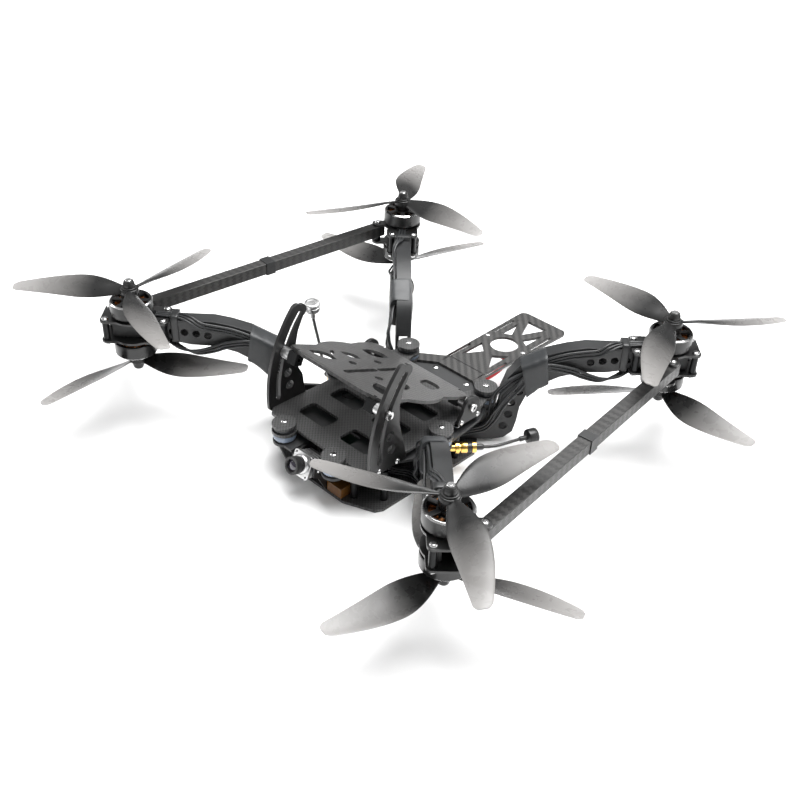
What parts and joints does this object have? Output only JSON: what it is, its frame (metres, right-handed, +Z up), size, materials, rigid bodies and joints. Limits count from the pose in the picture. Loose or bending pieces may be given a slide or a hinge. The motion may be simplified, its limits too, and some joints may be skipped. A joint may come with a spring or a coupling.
{
  "type": "quadcopter drone",
  "caption": "Coaxial multirotor drone with swept carbon arms, damped camera deck, tilting payload plate between side fins, front camera and long truss tail plate.",
  "frame": {"origin": "centre of the belly rest face, midway between the rotor axes", "axes": "+Z up, -Y forward (camera end), +X to the drone's left"},
  "size_m": [0.4983, 0.4461, 0.1214],
  "materials": {
    "carbon_twill": "satin woven carbon",
    "carbon_smooth": "matte smooth",
    "carbon_tube": "gloss woven carbon tube",
    "black_arm": "matte",
    "black_fin": "semi-gloss",
    "anodised_black": "black anodised",
    "silver": "machined",
    "steel": "polished",
    "silicone_ring": "translucent silicone",
    "silicone_dark": "silicone",
    "copper": "enamelled copper",
    "core": "laminated steel",
    "wire": "silicone insulation",
    "sleeve": "heat-shrink",
    "smoke": "translucent smoke",
    "lens": "gloss",
    "board": "circuit board",
    "amber": "amber film",
    "gold": "gold plated",
    "antenna": "satin",
    "lead": "silicone"
  },
  "bodies": {
    "frame": {"bottom_plate": "carbon_twill", "mid_plate": "carbon_smooth", "tail_plate": "carbon_twill", "frame_standoffs": "anodised_black", "frame_screws": "steel", "damper_upper_rings": "silicone_dark", "damper_lower_rings": "silicone_ring", "damper_washers": "carbon_twill", "damper_bolts": "steel", "front_left_arm": "black_arm", "front_right_arm": "black_arm", "rear_left_arm": "black_arm", "rear_right_arm": "black_arm", "arm_covers": "carbon_smooth", "arm_spacers": "anodised_black", "motor_plates": "black_arm", "pod_screws": "steel", "arm_braces": "carbon_tube", "brace_clips": "sleeve", "motor_bases": "anodised_black", "motor_bearings": "steel", "stator_cores": "core", "windings": "copper", "motor_wires": "wire", "wire_wraps": "sleeve", "fpv_bracket": "black_fin", "flight_controller": "board", "speed_controllers": "board", "video_transmitter": "anodised_black", "radio_receiver": "amber", "antenna_sockets": "gold", "antennas": "antenna", "battery_lead": "lead"},
    "deck_unit": {"deck": "carbon_twill", "side_fins": "black_fin", "pivot_brackets": "black_fin", "deck_screws": "steel"},
    "tilt_unit": {"tilt_plate": "carbon_twill", "tilt_standoffs": "silver", "tilt_tabs": "anodised_black", "tilt_screws": "steel"},
    "fpv_unit": {"fpv_camera": "silver", "fpv_lens": "lens", "fpv_screws": "steel"},
    "front_left_upper_rotor": {"front_left_upper_bell": "anodised_black", "front_left_upper_propeller": "smoke"},
    "front_left_lower_rotor": {"front_left_lower_bell": "anodised_black", "front_left_lower_propeller": "smoke"},
    "front_right_upper_rotor": {"front_right_upper_bell": "anodised_black", "front_right_upper_propeller": "smoke"},
    "front_right_lower_rotor": {"front_right_lower_bell": "anodised_black", "front_right_lower_propeller": "smoke"},
    "rear_left_upper_rotor": {"rear_left_upper_bell": "anodised_black", "rear_left_upper_propeller": "smoke"},
    "rear_left_lower_rotor": {"rear_left_lower_bell": "anodised_black", "rear_left_lower_propeller": "smoke"},
    "rear_right_upper_rotor": {"rear_right_upper_bell": "anodised_black", "rear_right_upper_propeller": "smoke"},
    "rear_right_lower_rotor": {"rear_right_lower_bell": "anodised_black", "rear_right_lower_propeller": "smoke"}
  },
  "joints": [
    {"name": "front_left_upper_spin", "type": "hinge", "parent": "frame", "child": "front_left_upper_rotor", "pos_m": [0.165, -0.1355, 0.1], "axis": [0, 0, 1], "continuous": true},
    {"name": "front_left_lower_spin", "type": "hinge", "parent": "frame", "child": "front_left_lower_rotor", "pos_m": [0.165, -0.1355, 0.064], "axis": [0, 0, 1], "continuous": true},
    {"name": "front_right_upper_spin", "type": "hinge", "parent": "frame", "child": "front_right_upper_rotor", "pos_m": [-0.165, -0.1355, 0.1], "axis": [0, 0, 1], "continuous": true},
    {"name": "front_right_lower_spin", "type": "hinge", "parent": "frame", "child": "front_right_lower_rotor", "pos_m": [-0.165, -0.1355, 0.064], "axis": [0, 0, 1], "continuous": true},
    {"name": "rear_left_upper_spin", "type": "hinge", "parent": "frame", "child": "rear_left_upper_rotor", "pos_m": [0.142, 0.1355, 0.1], "axis": [0, 0, 1], "continuous": true},
    {"name": "rear_left_lower_spin", "type": "hinge", "parent": "frame", "child": "rear_left_lower_rotor", "pos_m": [0.142, 0.1355, 0.064], "axis": [0, 0, 1], "continuous": true},
    {"name": "rear_right_upper_spin", "type": "hinge", "parent": "frame", "child": "rear_right_upper_rotor", "pos_m": [-0.142, 0.1355, 0.1], "axis": [0, 0, 1], "continuous": true},
    {"name": "rear_right_lower_spin", "type": "hinge", "parent": "frame", "child": "rear_right_lower_rotor", "pos_m": [-0.142, 0.1355, 0.064], "axis": [0, 0, 1], "continuous": true},
    {"name": "deck_float", "type": "slide", "parent": "frame", "child": "deck_unit", "axis": [0, 0, 1], "range_m": [-0.001, 0.001], "stiffness_N_per_m": 6000, "deforming": ["damper_lower_rings", "damper_upper_rings"]},
    {"name": "plate_tilt", "type": "hinge", "parent": "deck_unit", "child": "tilt_unit", "pos_m": [0, 0.0125, 0.049], "axis": [-1, 0, 0], "range_deg": [-20, 17]},
    {"name": "fpv_tilt", "type": "hinge", "parent": "frame", "child": "fpv_unit", "pos_m": [0, -0.103, 0.024], "axis": [-1, 0, 0], "range_deg": [-21, 20]}
  ]
}
